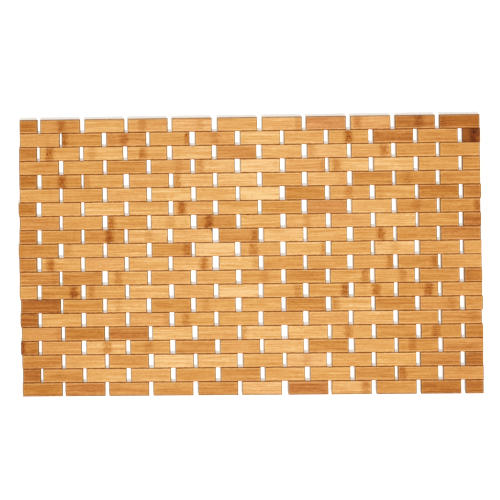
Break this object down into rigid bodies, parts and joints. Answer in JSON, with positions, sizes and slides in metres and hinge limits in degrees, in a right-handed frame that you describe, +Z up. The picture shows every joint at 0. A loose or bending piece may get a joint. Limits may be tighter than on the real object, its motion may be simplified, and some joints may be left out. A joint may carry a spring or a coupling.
{
  "type": "bamboo bath mat",
  "caption": "Flat rectangular mat of bamboo bricks in staggered rows with open slots between brick ends, strung on hidden cords, to stand on beside a bath or shower.",
  "frame": {"origin": "centre of the mat's outline, on its underside", "axes": "+X along the bricks and the mat's long side, +Y along the cords towards the edge whose row starts with a short brick at -X, +Z up"},
  "size_m": [0.8032, 0.4818, 0.005],
  "materials": {
    "bamboo": "satin lacquered bamboo, fibres along each brick",
    "cord": "braided elastic cord"
  },
  "bodies": {
    "root": {"course_01": "bamboo", "course_02": "bamboo", "course_03": "bamboo", "course_04": "bamboo", "course_05": "bamboo", "course_06": "bamboo", "course_07": "bamboo", "course_08": "bamboo", "course_09": "bamboo", "course_10": "bamboo", "cord_01": "cord", "cord_02": "cord", "cord_03": "cord", "cord_04": "cord", "cord_05": "cord", "cord_06": "cord", "cord_07": "cord", "cord_08": "cord", "cord_09": "cord", "cord_10": "cord", "cord_11": "cord", "cord_12": "cord", "cord_13": "cord", "cord_14": "cord", "cord_15": "cord", "cord_16": "cord", "cord_17": "cord", "cord_18": "cord", "cord_19": "cord", "cord_20": "cord", "cord_21": "cord"}
  },
  "joints": []
}
